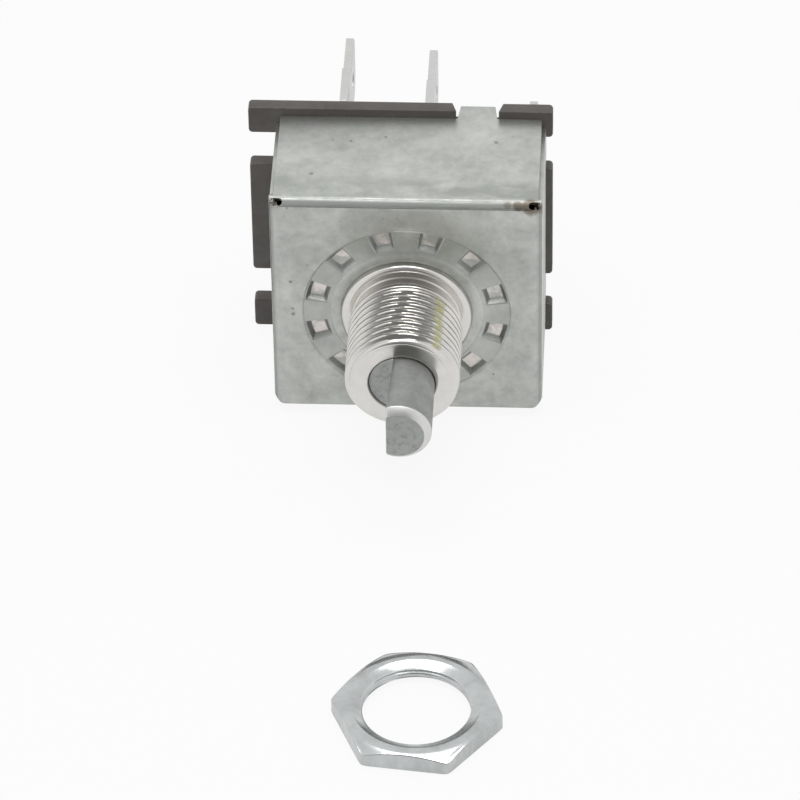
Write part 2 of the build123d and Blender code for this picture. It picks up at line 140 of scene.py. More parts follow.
class SwitchFinishSettings(bpy.types.PropertyGroup):
    """Colours of the switch's finishes, and how far its edges are rounded"""

    edge_radius: size("Edge radius", "Rounding of pressed and moulded edges, mm", 0.06)
    zinc: colour("Zinc", "Zinc plate on the folded housing", (0.63, 0.645, 0.615))
    # Also the base of the painted shade on the pressed ring, the pockets' walls and behind the top fold
    zinc_dark: colour("Dulled zinc", "Where the zinc plate has dulled", (0.44, 0.46, 0.435))
    stain: colour("Stain", "Brown stain beside the folds", (0.16, 0.12, 0.08))
    # Painted highlight on the floors of the pressed pockets
    pocket_floor_highlight: colour("Painted pocket highlight", "Bright floors of the pressed pockets", (0.86, 0.80, 0.77))
    turned: colour("Turned metal", "Bright turned bushing", (0.80, 0.78, 0.75))
    paint: colour("Paint", "Stripe of paint across the thread", (0.55, 0.53, 0.20))
    cast: colour("Die cast", "Dull die-cast shaft", (0.37, 0.38, 0.37))
    nut: colour("Nut zinc", "Bright zinc plate on the nut", (0.64, 0.66, 0.66))
    phenolic: colour("Phenolic", "Dark brown moulded base", (0.125, 0.112, 0.104))
    phenolic_worn: colour("Worn phenolic", "Rubbed edges of the base", (0.27, 0.25, 0.23))
    tin: colour("Tin", "Tinned terminals", (0.70, 0.70, 0.69))


class SwitchStageSettings(bpy.types.PropertyGroup):
    """Camera and light"""

    heading: angle("Heading", "Camera's turn from straight ahead", 3.116)
    elevation: angle("Elevation", "Camera's height angle above the floor", 39.957)
    roll: angle("Roll", "Camera's turn about its own sight line", -0.931)
    distance: size("Distance", "From the sight point to the camera, mm", 620)
    lens: bpy.props.FloatProperty(name="Lens", description="Focal length, mm", default=286.83, min=10)
    room_light: bpy.props.FloatProperty(
        name="Room light", description="Strength of the even light from all round", default=0.6, min=0
    )
    softbox_power: bpy.props.FloatProperty(
        name="Softbox power", description="Power of the softbox overhead, W", default=0.7, min=0
    )
    shade: bpy.props.FloatProperty(
        name="Room shade", description="How dark the unlit side of the room is", default=0.8, min=0, max=1
    )


# ---- meshes -------------------------------------------------------------------------------


def new_piece(name, mesh):
    """An object of this mesh, at the origin."""
    piece = bpy.data.objects.new(name, mesh)
    bpy.context.scene.collection.objects.link(piece)
    return piece


def finished_mesh(piece, name):
    """The piece's mesh with its modifiers worked out, as a plain mesh without them."""
    graph = bpy.context.evaluated_depsgraph_get()
    mesh = bpy.data.meshes.new_from_object(piece.evaluated_get(graph))
    mesh.name = name
    piece.modifiers.clear()
    piece.data = mesh
    return mesh


def close_ring_mesh(name, rings, attribute=None):
    """A closed skin over a loop of rings: each ring is a list of points, and the last joins the first."""
    count = len(rings[0])
    points = [point for ring in rings for point in ring]
    faces = []
    for row in range(len(rings)):
        following = (row + 1) % len(rings)
        for step in range(count):
            after = (step + 1) % count
            faces.append(
                (row * count + step, row * count + after, following * count + after, following * count + step)
            )
    mesh = bpy.data.meshes.new(name)
    mesh.from_pydata(points, [], faces)
    if attribute is not None:
        layer = mesh.attributes.new("thread", "FLOAT", "POINT")
        layer.data.foreach_set("value", [value for value in attribute for _ in range(count)])
    work = bmesh.new()
    work.from_mesh(mesh)
    bmesh.ops.recalc_face_normals(work, faces=work.faces)
    work.to_mesh(mesh)
    work.free()
    return mesh


def shade_by_angle(mesh, degrees=32):
    """Smooth shading that stays sharp at edges over this angle."""
    mesh.polygons.foreach_set("use_smooth", [True] * len(mesh.polygons))
    mesh.set_sharp_from_angle(angle=math.radians(degrees))


def divided(start, end, count):
    """Evenly spaced tuples from start up to end, without end itself."""
    return [tuple(a + (b - a) * step / count for a, b in zip(start, end)) for step in range(count)]


# ---- geometry nodes -----------------------------------------------------------------------


def math_node(tree, operation, first, second=None, third=None):
    """A math node's result. Each input is a socket or a number."""
    node = tree.nodes.new("ShaderNodeMath")
    node.operation = operation
    for socket, value in zip(node.inputs, (first, second, third)):
        if isinstance(value, bpy.types.NodeSocket):
            tree.links.new(value, socket)
        elif value is not None:
            socket.default_value = value
    return node.outputs[0]


def thread_tree():
    """Geometry nodes that cut a screw thread into a round skin, as deep as its thread attribute says."""
    tree = bpy.data.node_groups.new("Screw thread", "GeometryNodeTree")
    face = tree.interface
    face.new_socket("Geometry", in_out="INPUT", socket_type="NodeSocketGeometry")
    for name in ("Centre X", "Centre Y", "Pitch", "Depth", "Crest Share", "Inward"):
        face.new_socket(name, in_out="INPUT", socket_type="NodeSocketFloat")
    face.new_socket("Material", in_out="INPUT", socket_type="NodeSocketMaterial")
    face.new_socket("Geometry", in_out="OUTPUT", socket_type="NodeSocketGeometry")
    start = tree.nodes.new("NodeGroupInput")
    given = start.outputs
    place = tree.nodes.new("GeometryNodeInputPosition")
    split = tree.nodes.new("ShaderNodeSeparateXYZ")
    tree.links.new(place.outputs[0], split.inputs[0])
    across = math_node(tree, "SUBTRACT", split.outputs[0], given["Centre X"])
    along = math_node(tree, "SUBTRACT", split.outputs[1], given["Centre Y"])

    # The thread is cut about Z, so a bushing is made standing up and laid down afterwards
    turn = math_node(tree, "ARCTAN2", along, across)
    turns = math_node(tree, "DIVIDE", turn, 2 * math.pi)
    rise = math_node(tree, "DIVIDE", split.outputs[2], given["Pitch"])
    phase = math_node(tree, "FRACT", math_node(tree, "SUBTRACT", rise, turns))
    off_centre = math_node(tree, "ABSOLUTE", math_node(tree, "SUBTRACT", phase, 0.5))
    from_crest = math_node(tree, "MULTIPLY", off_centre, 2)
    flank = tree.nodes.new("ShaderNodeMapRange")
    flank.interpolation_type = "SMOOTHSTEP"
    tree.links.new(from_crest, flank.inputs["Value"])
    tree.links.new(given["Crest Share"], flank.inputs["From Min"])
    flank.inputs["From Max"].default_value = 0.94
    straight = math_node(tree, "SUBTRACT", from_crest, given["Crest Share"])
    straight = math_node(tree, "MAXIMUM", straight, 0)
    straight = math_node(tree, "DIVIDE", straight, math_node(tree, "SUBTRACT", 1, given["Crest Share"]))
    rounded = math_node(tree, "MULTIPLY", flank.outputs[0], 0.5)
    shape = math_node(tree, "ADD", rounded, math_node(tree, "MULTIPLY", straight, 0.5))
    named = tree.nodes.new("GeometryNodeInputNamedAttribute")
    named.data_type = "FLOAT"
    named.inputs["Name"].default_value = "thread"
    cut = math_node(tree, "MULTIPLY", shape, named.outputs["Attribute"])
    cut = math_node(tree, "MULTIPLY", cut, given["Depth"])
    cut = math_node(tree, "MULTIPLY", cut, given["Inward"])
    across_squared = math_node(tree, "MULTIPLY", across, across)
    along_squared = math_node(tree, "MULTIPLY", along, along)
    radius = math_node(tree, "SQRT", math_node(tree, "ADD", across_squared, along_squared))
    share = math_node(tree, "DIVIDE", cut, radius)
    shift = tree.nodes.new("ShaderNodeCombineXYZ")
    tree.links.new(math_node(tree, "MULTIPLY", across, share), shift.inputs[0])
    tree.links.new(math_node(tree, "MULTIPLY", along, share), shift.inputs[1])
    move = tree.nodes.new("GeometryNodeSetPosition")
    tree.links.new(given["Geometry"], move.inputs["Geometry"])
    tree.links.new(shift.outputs[0], move.inputs["Offset"])
    real = tree.nodes.new("GeometryNodeRealizeInstances")
    tree.links.new(move.outputs[0], real.inputs[0])
    finish = tree.nodes.new("GeometryNodeSetMaterial")
    tree.links.new(real.outputs[0], finish.inputs["Geometry"])
    tree.links.new(given["Material"], finish.inputs["Material"])
    end = tree.nodes.new("NodeGroupOutput")
    tree.links.new(finish.outputs[0], end.inputs[0])
    return tree


def cut_thread(piece, values):
    """Runs the screw thread nodes on a piece with these values, by input name, and keeps the result."""
    tree = bpy.data.node_groups.get("Screw thread") or thread_tree()
    modifier = piece.modifiers.new("Screw thread", "NODES")
    modifier.node_group = tree
    for item in tree.interface.items_tree:
        if item.in_out == "INPUT" and item.name in values:
            modifier[item.identifier] = values[item.name]
    return finished_mesh(piece, piece.name)


# ---- shader groups ------------------------------------------------------------------------


class Bench:
    """A node tree being built: places nodes, and joins a value that is a socket or sets one that isn't."""

    def __init__(self, tree):
        self.tree = tree

    def place(self, kind, values=None, **settings):
        node = self.tree.nodes.new(kind)
        for key, value in settings.items():
            setattr(node, key, value)
        for key, value in (values or {}).items():
            if isinstance(value, bpy.types.NodeSocket):
                self.tree.links.new(value, node.inputs[key])
            else:
                node.inputs[key].default_value = value
        return node

    def math(self, operation, first, second=0.5):
        return self.place("ShaderNodeMath", {0: first, 1: second}, operation=operation).outputs[0]

    def range(self, value, start, end, low=0.0, high=1.0):
        values = {"Value": value, "From Min": start, "From Max": end, "To Min": low, "To Max": high}
        return self.place("ShaderNodeMapRange", values, interpolation_type="SMOOTHSTEP").outputs[0]

    def mix(self, factor, first, second):
        node = self.place("ShaderNodeMix", data_type="RGBA")
        for index, value in ((0, factor), (6, first), (7, second)):
            if isinstance(value, bpy.types.NodeSocket):
                self.tree.links.new(value, node.inputs[index])
            elif index == 0:
                node.inputs[index].default_value = value
            else:
                node.inputs[index].default_value = (*value, 1.0)
        return node.outputs[2]

    def noise(self, vector, scale, detail=3.0, roughness=0.55, distortion=0.0):
        values = {
            "Vector": vector,
            "Scale": scale,
            "Detail": detail,
            "Roughness": roughness,
            "Distortion": distortion,
        }
        return self.place("ShaderNodeTexNoise", values).outputs["Fac"]

    def stretch(self, vector, scale, turn=(0.0, 0.0, 0.0)):
        values = {"Vector": vector, "Scale": scale, "Rotation": turn}
        return self.place("ShaderNodeMapping", values).outputs[0]

    def vector(self, operation, first, second):
        """A vector math node's outputs."""
        return self.place("ShaderNodeVectorMath", {0: first, 1: second}, operation=operation).outputs

    def between(self, value, start, full, falling, end):
        """A mask that rises from start to full, and falls again from falling to end."""
        return self.math("MULTIPLY", self.range(value, start, full), self.range(value, end, falling))

    def group(self, name, values):
        node = self.tree.nodes.new("ShaderNodeGroup")
        node.node_tree = bpy.data.node_groups.get(name) or GROUPS[name]()
        for key, value in values.items():
            if isinstance(value, bpy.types.NodeSocket):
                self.tree.links.new(value, node.inputs[key])
            else:
                node.inputs[key].default_value = value
        return node.outputs


def new_group(name, inputs, outputs):
    """A shader group with these named float inputs (a vector where the name is Vector) and outputs."""
    tree = bpy.data.node_groups.new(name, "ShaderNodeTree")
    for socket in inputs:
        kind = "NodeSocketVector" if socket == "Vector" else "NodeSocketFloat"
        tree.interface.new_socket(socket, in_out="INPUT", socket_type=kind)
    for socket in outputs:
        kind = "NodeSocketVector" if socket == "Normal" else "NodeSocketFloat"
        tree.interface.new_socket(socket, in_out="OUTPUT", socket_type=kind)
    bench = Bench(tree)
    given = tree.nodes.new("NodeGroupInput").outputs
    out = tree.nodes.new("NodeGroupOutput")
    return bench, given, out


def mottle_group():
    """Soft blotches of two sizes, and a fine grain."""
    bench, given, out = new_group("Mottle", ("Vector", "Scale", "Contrast"), ("Mask", "Grain"))
    broad = bench.noise(given["Vector"], given["Scale"], 4.0, 0.6, 0.4)
    small = bench.noise(given["Vector"], bench.math("MULTIPLY", given["Scale"], 4.7), 5.0, 0.65, 0.2)
    both = bench.math("ADD", bench.math("MULTIPLY", broad, 0.6), bench.math("MULTIPLY", small, 0.4))
    centred = bench.math("MULTIPLY", bench.math("SUBTRACT", both, 0.5), given["Contrast"])
    mask = bench.place("ShaderNodeMath", {0: centred, 1: 0.5}, operation="ADD", use_clamp=True).outputs[0]
    grain = bench.noise(given["Vector"], bench.math("MULTIPLY", given["Scale"], 30.0), 3.0, 0.7)
    bench.tree.links.new(mask, out.inputs["Mask"])
    bench.tree.links.new(grain, out.inputs["Grain"])
    return bench.tree


def speck_group():
    """Small scattered specks of uneven size."""
    bench, given, out = new_group("Specks", ("Vector", "Scale", "Size"), ("Mask",))
    values = {"Vector": given["Vector"], "Scale": given["Scale"], "Detail": 2.0}
    warp = bench.place("ShaderNodeTexNoise", values)
    bent = bench.place("ShaderNodeVectorMath", {0: warp.outputs["Color"]}, operation="SCALE")
    bent.inputs["Scale"].default_value = 0.0006
    moved = bench.vector("ADD", given["Vector"], bent.outputs[0])[0]
    values = {"Vector": moved, "Scale": given["Scale"], "Randomness": 1.0}
    cells = bench.place("ShaderNodeTexVoronoi", values)
    chance = bench.place("ShaderNodeSeparateColor", {"Color": cells.outputs["Color"]}).outputs[0]
    reach = bench.math("MULTIPLY", bench.range(chance, 0.55, 1.0), given["Size"])
    edge = bench.math("SUBTRACT", reach, cells.outputs["Distance"])
    mask = bench.range(edge, 0.0, 0.06)
    bench.tree.links.new(mask, out.inputs["Mask"])
    return bench.tree


def scratch_group():
    """Fine scratches along one direction, broken into short stretches."""
    bench, given, out = new_group("Scratches", ("Vector", "Scale", "Length"), ("Mask",))
    parts = bench.place("ShaderNodeSeparateXYZ", {0: given["Vector"]}).outputs
    shortened = bench.math("DIVIDE", parts[0], given["Length"])
    squeezed = bench.place("ShaderNodeCombineXYZ", {0: shortened, 1: parts[1], 2: parts[2]}).outputs[0]
    lines = bench.noise(squeezed, given["Scale"], 3.0, 0.6, 0.3)
    thin = bench.range(bench.math("ABSOLUTE", bench.math("SUBTRACT", lines, 0.5)), 0.0, 0.012, 1.0, 0.0)
    patches = bench.noise(given["Vector"], bench.math("MULTIPLY", given["Scale"], 0.3), 2.0)
    gaps = bench.range(patches, 0.5, 0.62)
    bench.tree.links.new(bench.math("MULTIPLY", thin, gaps), out.inputs["Mask"])
    return bench.tree


def edge_wear_group():
    """Where an outer edge is rubbed, broken up unevenly."""
    bench, given, out = new_group("Edge wear", ("Vector", "Radius", "Scale", "Amount"), ("Mask",))
    soft = bench.place("ShaderNodeBevel", {"Radius": given["Radius"]}, samples=6).outputs[0]
    plain = bench.place("ShaderNodeNewGeometry").outputs["Normal"]
    turned = bench.vector("DOT_PRODUCT", soft, plain)["Value"]
    edge = bench.range(turned, 0.995, 0.90)
    uneven = bench.range(bench.noise(given["Vector"], given["Scale"], 4.0, 0.65), 0.35, 0.6)
    mask = bench.math("MULTIPLY", bench.math("MULTIPLY", edge, uneven), given["Amount"])
    bench.tree.links.new(mask, out.inputs["Mask"])
    return bench.tree


def spot_group():
    """A soft spot about a point, with a ragged edge."""
    bench, given, out = new_group("Spot", ("Vector", "X", "Y", "Z", "Radius"), ("Mask",))
    centre = bench.place("ShaderNodeCombineXYZ", {0: given["X"], 1: given["Y"], 2: given["Z"]}).outputs[0]
    away = bench.vector("DISTANCE", given["Vector"], centre)["Value"]
    ragged = bench.noise(given["Vector"], 900.0, 4.0, 0.7)
    away = bench.math("DIVIDE", away, given["Radius"])
    away = bench.math("ADD", away, bench.math("SUBTRACT", ragged, 0.5))
    bench.tree.links.new(bench.range(away, 1.0, 0.55), out.inputs["Mask"])
    return bench.tree


GROUPS = {
    "Mottle": mottle_group,
    "Specks": speck_group,
    "Scratches": scratch_group,
    "Edge wear": edge_wear_group,
    "Spot": spot_group,
}


# ---- materials ----------------------------------------------------------------------------


def start_material(name):
    """A new material: its bench, its Principled shader and the object coordinates."""
    material = bpy.data.materials.new(name)
    material.use_nodes = True
    bench = Bench(material.node_tree)
    shader = material.node_tree.nodes["Principled BSDF"]
    where = bench.place("ShaderNodeTexCoord").outputs["Object"]
    return material, bench, shader, where


def join(bench, shader, **values):
    """Links or sets the shader's sockets, where an underscore stands for a space."""
    for key, value in values.items():
        socket = shader.inputs[key.replace("_", " ")]
        if isinstance(value, bpy.types.NodeSocket):
            bench.tree.links.new(value, socket)
        else:
            socket.default_value = value


def bump(bench, height, distance, strength=1.0, normal=None):
    """A bump of this depth in metres from a height."""
    values = {"Height": height, "Distance": distance, "Strength": strength}
    if normal is not None:
        values["Normal"] = normal
    return bench.place("ShaderNodeBump", values).outputs[0]


def zinc_steel(finish):
    """Satin zinc plate on folded sheet, with blotches, scratches, specks and stains at the folds."""
    material, bench, shader, where = start_material("zinc_steel")
    mottle = bench.group("Mottle", {"Vector": where, "Scale": 230.0, "Contrast": 3.4})
    base = bench.mix(mottle["Mask"], finish.zinc_dark, finish.zinc)
    specks = bench.group("Specks", {"Vector": where, "Scale": 560.0, "Size": 0.17})
    base = bench.mix(bench.math("MULTIPLY", specks["Mask"], 0.45), base, finish.stain)
    worn = bench.group("Edge wear", {"Vector": where, "Radius": 0.00022, "Scale": 1500.0, "Amount": 0.7})
    base = bench.mix(worn["Mask"], base, (0.72, 0.73, 0.72))
    scratches = bench.group("Scratches", {"Vector": where, "Scale": 1100.0, "Length": 5.0})
    crossing = bench.stretch(where, (1.0, 1.0, 1.0), (0.3, 1.1, 0.2))
    crossed = bench.group("Scratches", {"Vector": crossing, "Scale": 800.0, "Length": 7.0})
    marks = bench.math("MAXIMUM", scratches["Mask"], crossed["Mask"])
    base = bench.mix(bench.math("MULTIPLY", marks, 0.35), base, (0.66, 0.67, 0.66))

    # The pressed ring is painted a little darker as painted shade, its pockets' walls are painted darker
    # still as painted shade, and their floors carry a painted highlight
    depth = bench.place("ShaderNodeSeparateXYZ", {0: where}).outputs[1]
    ring = bench.between(depth, 0.00008, 0.00014, 0.00077, 0.00079)
    base = bench.mix(bench.math("MULTIPLY", ring, 0.45), base, finish.zinc_dark)
    # Painted shade on the pockets' walls
    pocket_wall_shade = bench.between(depth, 0.00018, 0.00032, 0.00066, 0.00074)
    base = bench.mix(bench.math("MULTIPLY", pocket_wall_shade, 0.5), base, shade_of(finish.zinc_dark, 0.5))
    # Painted highlight on the pockets' floors, broken into patches
    pocket_floor_highlight = bench.between(depth, 0.00070, 0.00074, 0.00077, 0.00079)
    patchy = bench.range(bench.noise(where, 700.0, 2.0), 0.42, 0.58, 0.15, 0.95)
    base = bench.mix(bench.math("MULTIPLY", pocket_floor_highlight, patchy), base, finish.pocket_floor_highlight)

    # Stains beside the relief holes and on the fold's right end
    side = HOUSING_HIGH.x * MM
    top = HOUSING_HIGH.z * MM
    for x, y, z, radius, amount in (
        (side - 0.0011, 0.0004, top - 0.0004, 0.0011, 0.75),
        (side - 0.0023, 0.0003, top - 0.0003, 0.0006, 0.75),
        (side - 0.0006, 0.0012, top - 0.0010, 0.0010, 0.6),
        (-side + 0.0008, 0.0008, top - 0.0008, 0.0009, 0.45),
        (side - 0.0034, 0.0004, top - 0.0003, 0.0005, 0.5),
    ):
        spot = bench.group("Spot", {"Vector": where, "X": x, "Y": y, "Z": z, "Radius": radius})
        base = bench.mix(bench.math("MULTIPLY", spot["Mask"], amount), base, finish.stain)

    # A darker band behind the top fold, stronger towards the right: painted shade, standing in for the dim
    # reflection just above the fold's highlight
    parts = bench.place("ShaderNodeSeparateXYZ", {0: where}).outputs
    band = bench.between(parts[1], 0.0008, 0.0013, 0.0030, 0.0046)
    band = bench.math("MULTIPLY", band, bench.range(parts[2], top - 0.0004, top - 0.0001))
    band = bench.math("MULTIPLY", band, bench.range(parts[0], -0.012, 0.010, 0.5, 1.0))
    uneven = bench.range(bench.noise(bench.stretch(where, (0.5, 1.0, 1.0)), 380.0, 4.0), 0.4, 0.6)
    band = bench.math("MULTIPLY", bench.math("MULTIPLY", band, uneven), 0.85)
    base = bench.mix(band, base, shade_of(finish.zinc_dark, 0.85))
    rough = bench.range(mottle["Mask"], 0.0, 1.0, 0.46, 0.36)
    rough = bench.math("ADD", rough, bench.math("MULTIPLY", specks["Mask"], 0.2))
    normal = bump(bench, mottle["Grain"], 0.000012, 0.5)
    normal = bump(bench, marks, -0.000008, 0.6, normal)
    join(bench, shader, Base_Color=base, Roughness=rough, Normal=normal, Metallic=0.92)
    return material


def turned_metal(finish):
    """Bright turned metal with fine tool lines, and a stripe of paint across the thread."""
    material, bench, shader, where = start_material("turned_metal")
    parts = bench.place("ShaderNodeSeparateXYZ", {0: where}).outputs
    turn = bench.math("ARCTAN2", parts[0], parts[2])
    ragged = bench.noise(where, 1500.0, 3.0, 0.6)
    loose = bench.math("MULTIPLY", bench.math("SUBTRACT", ragged, 0.5), 0.3)
    turn = bench.math("ADD", turn, loose)
    stripe = bench.between(turn, 0.55, 0.63, 0.73, 0.82)
    length = bench.between(parts[1], -0.0104, -0.0100, -0.0034, -0.0026)
    stripe = bench.math("MULTIPLY", stripe, length)
    thin = bench.range(bench.noise(where, 2600.0, 3.0, 0.7), 0.36, 0.60, 0.85, 0.3)
    stripe = bench.math("MULTIPLY", stripe, thin)
    mottle = bench.group("Mottle", {"Vector": where, "Scale": 300.0, "Contrast": 2.0})
    base = bench.mix(mottle["Mask"], shade_of(finish.turned, 0.86), finish.turned)
    base = bench.mix(stripe, base, finish.paint)

    # Tool lines run round the axis, so they follow the radius and the place along it
    radius = bench.place(
        "ShaderNodeVectorMath", {0: bench.stretch(where, (1.0, 0.0, 1.0))}, operation="LENGTH"
    ).outputs["Value"]
    lines = bench.place("ShaderNodeCombineXYZ", {0: radius, 1: parts[1], 2: 0.0}).outputs[0]
    tool = bench.noise(lines, 9000.0, 3.0, 0.6)
    normal = bump(bench, tool, 0.000006, 0.35)
    rough = bench.range(mottle["Mask"], 0.0, 1.0, 0.22, 0.14)
    rough = bench.math("ADD", rough, bench.math("MULTIPLY", stripe, 0.3))
    metal = bench.range(stripe, 0.0, 1.0, 1.0, 0.25)
    tangent = bench.place("ShaderNodeTangent", direction_type="RADIAL", axis="Y").outputs[0]
    join(bench, shader, Base_Color=base, Roughness=rough, Normal=normal)
    join(bench, shader, Metallic=metal, Tangent=tangent, Anisotropic=0.55)
    return material


def plain_finish(name, light, dark, metallic, smooth, rough, scale, grain, wear=None):
    """A finish with its own colour variation, roughness variation, grain and rubbed edges."""
    material, bench, shader, where = start_material(name)
    mottle = bench.group("Mottle", {"Vector": where, "Scale": scale, "Contrast": 2.4})
    base = bench.mix(mottle["Mask"], dark, light)
    if wear is not None:
        worn = bench.group("Edge wear", {"Vector": where, "Radius": 0.00018, "Scale": 1400.0, "Amount": 0.8})
        base = bench.mix(worn["Mask"], base, wear)
    roughness = bench.range(mottle["Mask"], 0.0, 1.0, rough, smooth)
    normal = bump(bench, mottle["Grain"], grain, 0.6)
    join(bench, shader, Base_Color=base, Roughness=roughness, Normal=normal, Metallic=metallic)
    return material


def shade_of(colour_value, factor):
    """The colour, darker or lighter by this factor."""
    return tuple(min(channel * factor, 1.0) for channel in colour_value)


def die_cast(finish):
    """Dull die-cast metal, pitted on its end faces."""
    material, bench, shader, where = start_material("die_cast")
    mottle = bench.group("Mottle", {"Vector": where, "Scale": 420.0, "Contrast": 3.0})
    base = bench.mix(mottle["Mask"], shade_of(finish.cast, 0.72), finish.cast)
    plain = bench.place("ShaderNodeNewGeometry").outputs["Normal"]
    facing = bench.math("ABSOLUTE", bench.place("ShaderNodeSeparateXYZ", {0: plain}).outputs[1])
    end = bench.range(facing, 0.8, 0.97)
    pits = bench.noise(where, 1800.0, 5.0, 0.7)
    dark_pits = bench.math("MULTIPLY", bench.math("MULTIPLY", end, bench.range(pits, 0.48, 0.62)), 0.4)
    base = bench.mix(bench.math("MULTIPLY", end, 0.6), base, shade_of(finish.cast, 1.45))
    base = bench.mix(dark_pits, base, shade_of(finish.cast, 0.6))
    worn = bench.group("Edge wear", {"Vector": where, "Radius": 0.0002, "Scale": 1200.0, "Amount": 0.7})
    base = bench.mix(worn["Mask"], base, (0.62, 0.62, 0.62))
    # Painted highlight on the slanted chamfers between the sides and the ends
    chamfer_highlight = bench.between(facing, 0.3, 0.45, 0.85, 0.95)
    base = bench.mix(bench.math("MULTIPLY", chamfer_highlight, 0.85), base, (0.82, 0.82, 0.81))
    height = bench.math("MULTIPLY", pits, bench.math("ADD", bench.math("MULTIPLY", end, 0.9), 0.1))
    normal = bump(bench, height, 0.00006, 0.6)
    rough = bench.range(mottle["Mask"], 0.0, 1.0, 0.46, 0.34)
    rough = bench.math("ADD", rough, bench.math("MULTIPLY", end, 0.15))
    join(bench, shader, Base_Color=base, Roughness=rough, Normal=normal, Metallic=0.95)
    return material


def nut_zinc(finish):
    """Bright zinc plate with soft streaks."""
    material, bench, shader, where = start_material("nut_zinc")
    drawn = bench.stretch(where, (1.0, 1.0, 0.35))
    mottle = bench.group("Mottle", {"Vector": drawn, "Scale": 260.0, "Contrast": 3.0})
    base = bench.mix(mottle["Mask"], shade_of(finish.nut, 0.72), finish.nut)
    worn = bench.group("Edge wear", {"Vector": where, "Radius": 0.0002, "Scale": 900.0, "Amount": 0.6})
    base = bench.mix(worn["Mask"], base, (0.86, 0.87, 0.87))
    waves = bench.noise(where, 420.0, 2.0, 0.5)
    normal = bump(bench, waves, 0.00005, 0.5)
    rough = bench.range(mottle["Mask"], 0.0, 1.0, 0.26, 0.14)
    join(bench, shader, Base_Color=base, Roughness=rough, Normal=normal, Metallic=1.0)
    return material


def all_materials(finish):
    """Every finish, by the record's slot names."""
    tin, dark = finish.tin, finish.phenolic
    made = {
        "zinc_steel": zinc_steel(finish),
        "turned_metal": turned_metal(finish),
        "die_cast": die_cast(finish),
        "nut_zinc": nut_zinc(finish),
        "base_phenolic": plain_finish(
            "base_phenolic", dark, shade_of(dark, 0.7), 0.0, 0.42, 0.6, 260.0, 0.00004, finish.phenolic_worn
        ),
        "tinned_blade": plain_finish(
            "tinned_blade", tin, shade_of(tin, 0.88), 0.9, 0.24, 0.36, 240.0, 0.00001, (0.85, 0.85, 0.84)
        ),
    }
    for name, light, metallic, smooth, rough, grain in (
        ("spring_bronze", (0.60, 0.42, 0.25), 1.0, 0.22, 0.34, 0.00001),
        ("carrier_plastic", (0.74, 0.72, 0.65), 0.0, 0.38, 0.5, 0.00002),
        ("ball_steel", (0.70, 0.70, 0.71), 1.0, 0.07, 0.12, 0.000002),
        ("spring_wire", (0.52, 0.52, 0.54), 1.0, 0.26, 0.38, 0.00001),
        ("contact_copper", (0.70, 0.40, 0.28), 1.0, 0.2, 0.34, 0.00001),
        ("rivet_metal", (0.66, 0.63, 0.57), 1.0, 0.22, 0.36, 0.00001),
    ):
        made[name] = plain_finish(name, light, shade_of(light, 0.82), metallic, smooth, rough, 300.0, grain)
    return made


def node_slots():
    """The material slot of each CAD node, from the record."""
    return {item["node"]: item["material_slot"] for item in frame["record"]["subparts"]}


def body_named(node):
    """The body that a CAD node belongs to."""
    for body, members in frame["record"]["behaviour"]["bodies"].items():
        if node in members:
            return body
    raise RuntimeError(f"{node} is in no body")


def stand_for(piece, node):
    """The piece takes the CAD node's place: its body, its finish and its slot."""
    slot = node_slots()[node]
    piece.data.materials.clear()
    piece.data.materials.append(bpy.data.materials[slot])
    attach(piece, body_named(node))
    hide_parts(node)


# ---- operators ----------------------------------------------------------------------------


class SWITCH_OT_finishes(bpy.types.Operator):
    """Make every finish and give it to the CAD nodes that carry it"""

    bl_idname = "switch.finishes"
    bl_label = "Finishes"

    def execute(self, context):
        for plain in list(bpy.data.materials):
            bpy.data.materials.remove(plain)
        made = all_materials(context.scene.switch_finish)
        for node, slot in node_slots().items():
            target = frame["nodes"][node]
            for material_slot in target.material_slots:
                material_slot.material = made[slot]
        return {"FINISHED"}


